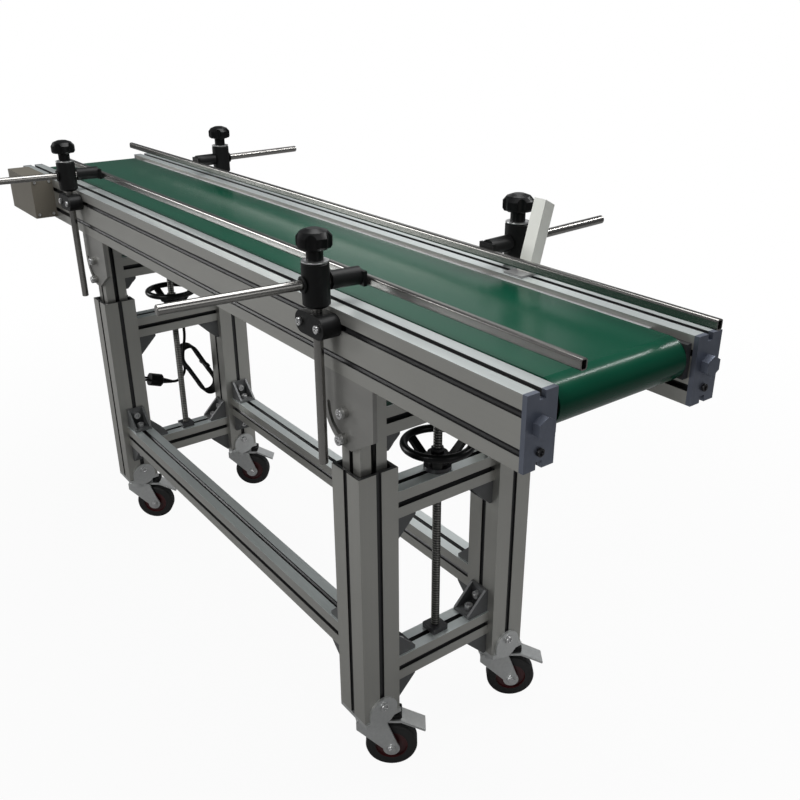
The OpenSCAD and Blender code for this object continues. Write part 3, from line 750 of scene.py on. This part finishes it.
def cover_screws():
    """Four small screws on each end of the drive cover."""
    screw = cap_screw(2.8 * MM, 1.6 * MM, 16)
    low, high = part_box("drive_cover")
    edge = 7 * MM
    places = []
    for x, towards in ((high.x, 1), (low.x, -1)):
        for y in (low.y + edge, high.y - edge):
            for z in (low.z + edge, high.z - edge):
                places.append(facing((x, y, z), (towards, 0, 0)))
    set_out(screw, "cover_screws", "deck", SCREW_BRIGHT, places)
    drop(screw)


def foot_screws():
    """One screw through each foot bracket's tab, and four round each swivel race."""
    screw = cap_screw(6.5 * MM, 4 * MM)
    small = cap_screw(3.5 * MM, 3 * MM, 16)
    tab_x = LEG_HALF + 4 * MM
    tab_z = 125 * MM
    plate_z = 100 * MM
    corner = 24 * MM
    tabs = []
    corners = []
    for leg in LEGS.values():
        tabs.append(facing((leg.x + tab_x, leg.y, tab_z), (1, 0, 0)))
        for dx in (-corner, corner):
            for dy in (-corner, corner):
                corners.append(facing((leg.x + dx, leg.y + dy, plate_z), (0, 0, -1)))
    set_out(screw, "tab_screws", "frame", SCREW_BRIGHT, tabs)
    set_out(small, "race_screws", "frame", SCREW_BRIGHT, corners)
    drop(screw, small)


def caster_nuts():
    """Nut on each end of each caster's axle."""
    template = nut(6.8 * MM, 4.6 * MM)
    half = 18 * MM
    for end, side in LEGS:
        place = f"{end}_{side}"
        hub = middle(f"caster_{place}")
        places = [facing(hub + WHEEL_AXIS * half * sign, WHEEL_AXIS * sign) for sign in (-1, 1)]
        set_out(template, f"axle_nuts_{place}", f"swivel_{place}", SCREW_BRIGHT, places)
    drop(template)


def brake_levers():
    """Black lever on each caster's brake pedal, just behind the fork's crown."""
    template = block(15 * MM, 24 * MM, 10 * MM, 2.5 * MM)
    behind = 38 * MM
    lift = Vector((0, 0, 91 * MM))
    heading = Vector((WHEEL_AXIS.y, -WHEEL_AXIS.x, 0))
    turn = Matrix.Rotation(math.atan2(heading.y, heading.x), 4, "Z")
    for (end, side), leg in LEGS.items():
        place = f"{end}_{side}"
        at = Vector((leg.x, leg.y, 0)) + heading * behind + lift
        places = [Matrix.Translation(at) @ turn]
        set_out(template, f"brake_lever_{place}", f"swivel_{place}", BLACK, places)
    drop(template)


def bracket_rings():
    """Bright collar on each clamp head, and the dark flange where the cross rod leaves it."""
    collar = ring(16.2 * MM, 9 * MM, 1.6 * MM)
    flange = ring(10 * MM, 6.5 * MM, 2.5 * MM)
    post_r = 6 * MM
    head_r = 16 * MM
    head_top = Vector((0, 0, DECK_TOP + 54 * MM))
    rod_height = Vector((0, 0, DECK_TOP + 29 * MM))
    for side, sign in SIDES.items():
        low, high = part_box(f"guide_posts_{side}")
        outward = Vector((-math.sin(ROD_SWING), sign * math.cos(ROD_SWING), 0))
        collars = []
        flanges = []
        for x in (low.x + post_r, high.x - post_r):
            post = Vector((x, sign * POST_Y, 0))
            collars.append(facing(post + head_top, (0, 0, 1)))
            flanges.append(facing(post + outward * head_r + rod_height, outward))
        body = f"guide_{side}_height"
        set_out(collar, f"head_collars_{side}", body, SCREW_BRIGHT, collars)
        set_out(flange, f"rod_flanges_{side}", body, BLACK, flanges)
    drop(collar, flange)


def screw_nuts():
    """Lock nut over each handwheel's hub."""
    template = ring(9.5 * MM, 6.1 * MM, 7 * MM, 6)
    hub_top = 474.4 * MM
    for end in ENDS:
        screw = middle(f"lead_screw_{end}")
        places = [facing((screw.x, screw.y, hub_top), (0, 0, 1))]
        set_out(template, f"hub_nut_{end}", f"screw_{end}", SCREW_DARK, places)
    drop(template)


gusset_screws()
deck_screws()
end_screws()
cover_screws()
foot_screws()
caster_nuts()
brake_levers()
bracket_rings()
screw_nuts()


# Studio


WHITE = (1, 1, 1, 1)
ROOM_GREY = (0.13, 0.135, 0.14, 1)
FLOOR_SIZE = 80
NEAR_FLOOR_WHITE = 0.95
NEAR_FLOOR_R = 0.4
FAR_FLOOR_R = 2.2


def area_light(name, at, towards, size, power, length=None):
    """Soft lamp: a disk, or a strip where it has a length."""
    data = bpy.data.lights.new(name, "AREA")
    data.shape = "RECTANGLE" if length else "DISK"
    data.size = size
    if length:
        data.size_y = length
    data.energy = power
    lamp = bpy.data.objects.new(name, data)
    bpy.context.scene.collection.objects.link(lamp)
    turn = (Vector(towards) - Vector(at)).to_track_quat("-Z", "Y")
    lamp.matrix_world = Matrix.Translation(at) @ turn.to_matrix().to_4x4()


def make_world():
    """White to the camera and soft grey to everything else."""
    world = bpy.data.worlds.new("studio")
    world.use_nodes = True
    tree = world.node_tree
    background = tree.nodes["Background"]
    path = tree.nodes.new("ShaderNodeLightPath")
    mix = tree.nodes.new("ShaderNodeMix")
    mix.data_type = "RGBA"
    mix.inputs[6].default_value = ROOM_GREY
    mix.inputs[7].default_value = WHITE
    tree.links.new(path.outputs["Is Camera Ray"], mix.inputs[0])
    tree.links.new(mix.outputs[2], background.inputs["Color"])
    bpy.context.scene.world = world


def make_floor():
    """Plain pale floor that the camera sees as almost white, and as white far from the conveyor."""
    bpy.ops.mesh.primitive_plane_add(size=FLOOR_SIZE)
    floor = bpy.context.object
    floor.name = "floor"
    finish = Finish("floor_white", (0.28, 0.28, 0.28), 0.8)
    x, y = finish.parts(finish.position())[:2]
    away = (x * x + y * y) ** 0.5
    settings = {"interpolation_type": "SMOOTHSTEP"}
    inputs = {"Value": away, "From Min": NEAR_FLOOR_R, "From Max": FAR_FLOOR_R, "To Min": NEAR_FLOOR_WHITE}
    white = finish.node("ShaderNodeMapRange", settings, inputs, "Result")
    seen = finish.node("ShaderNodeLightPath", output="Is Camera Ray")
    glow = finish.node("ShaderNodeEmission", inputs={"Color": WHITE, "Strength": 1.0})
    surface = Value(finish, finish.shader.outputs["BSDF"])
    mixed = finish.node("ShaderNodeMixShader", inputs=[white * seen, surface, glow])
    finish.plug(finish.tree.nodes["Material Output"].inputs["Surface"], mixed)
    floor.data.materials.append(finish.material)


make_world()
make_floor()
area_light("top", (0.1, 0.5, 3.0), (0, 0, 0.6), 2.2, 72)
area_light("nose_strip", (0.83, 1.83, 2.4), (0.75, 0, 0.69), 0.12, 24, 1.6)
area_light("key", (0.9, -2.8, 2.4), (0, 0, 0.5), 1.5, 44)
area_light("far_window", (-3.2, -2.2, 1.6), (-0.4, -0.1, 0.5), 1.6, 58)
area_light("back_window", (-2.6, 2.5, 2.0), (0, 0, 0.6), 1.7, 3.5)
area_light("end_fill", (3.4, 0.2, 1.5), (0, 0, 0.4), 1.4, 8)
bpy.context.scene.view_settings.view_transform = "Standard"
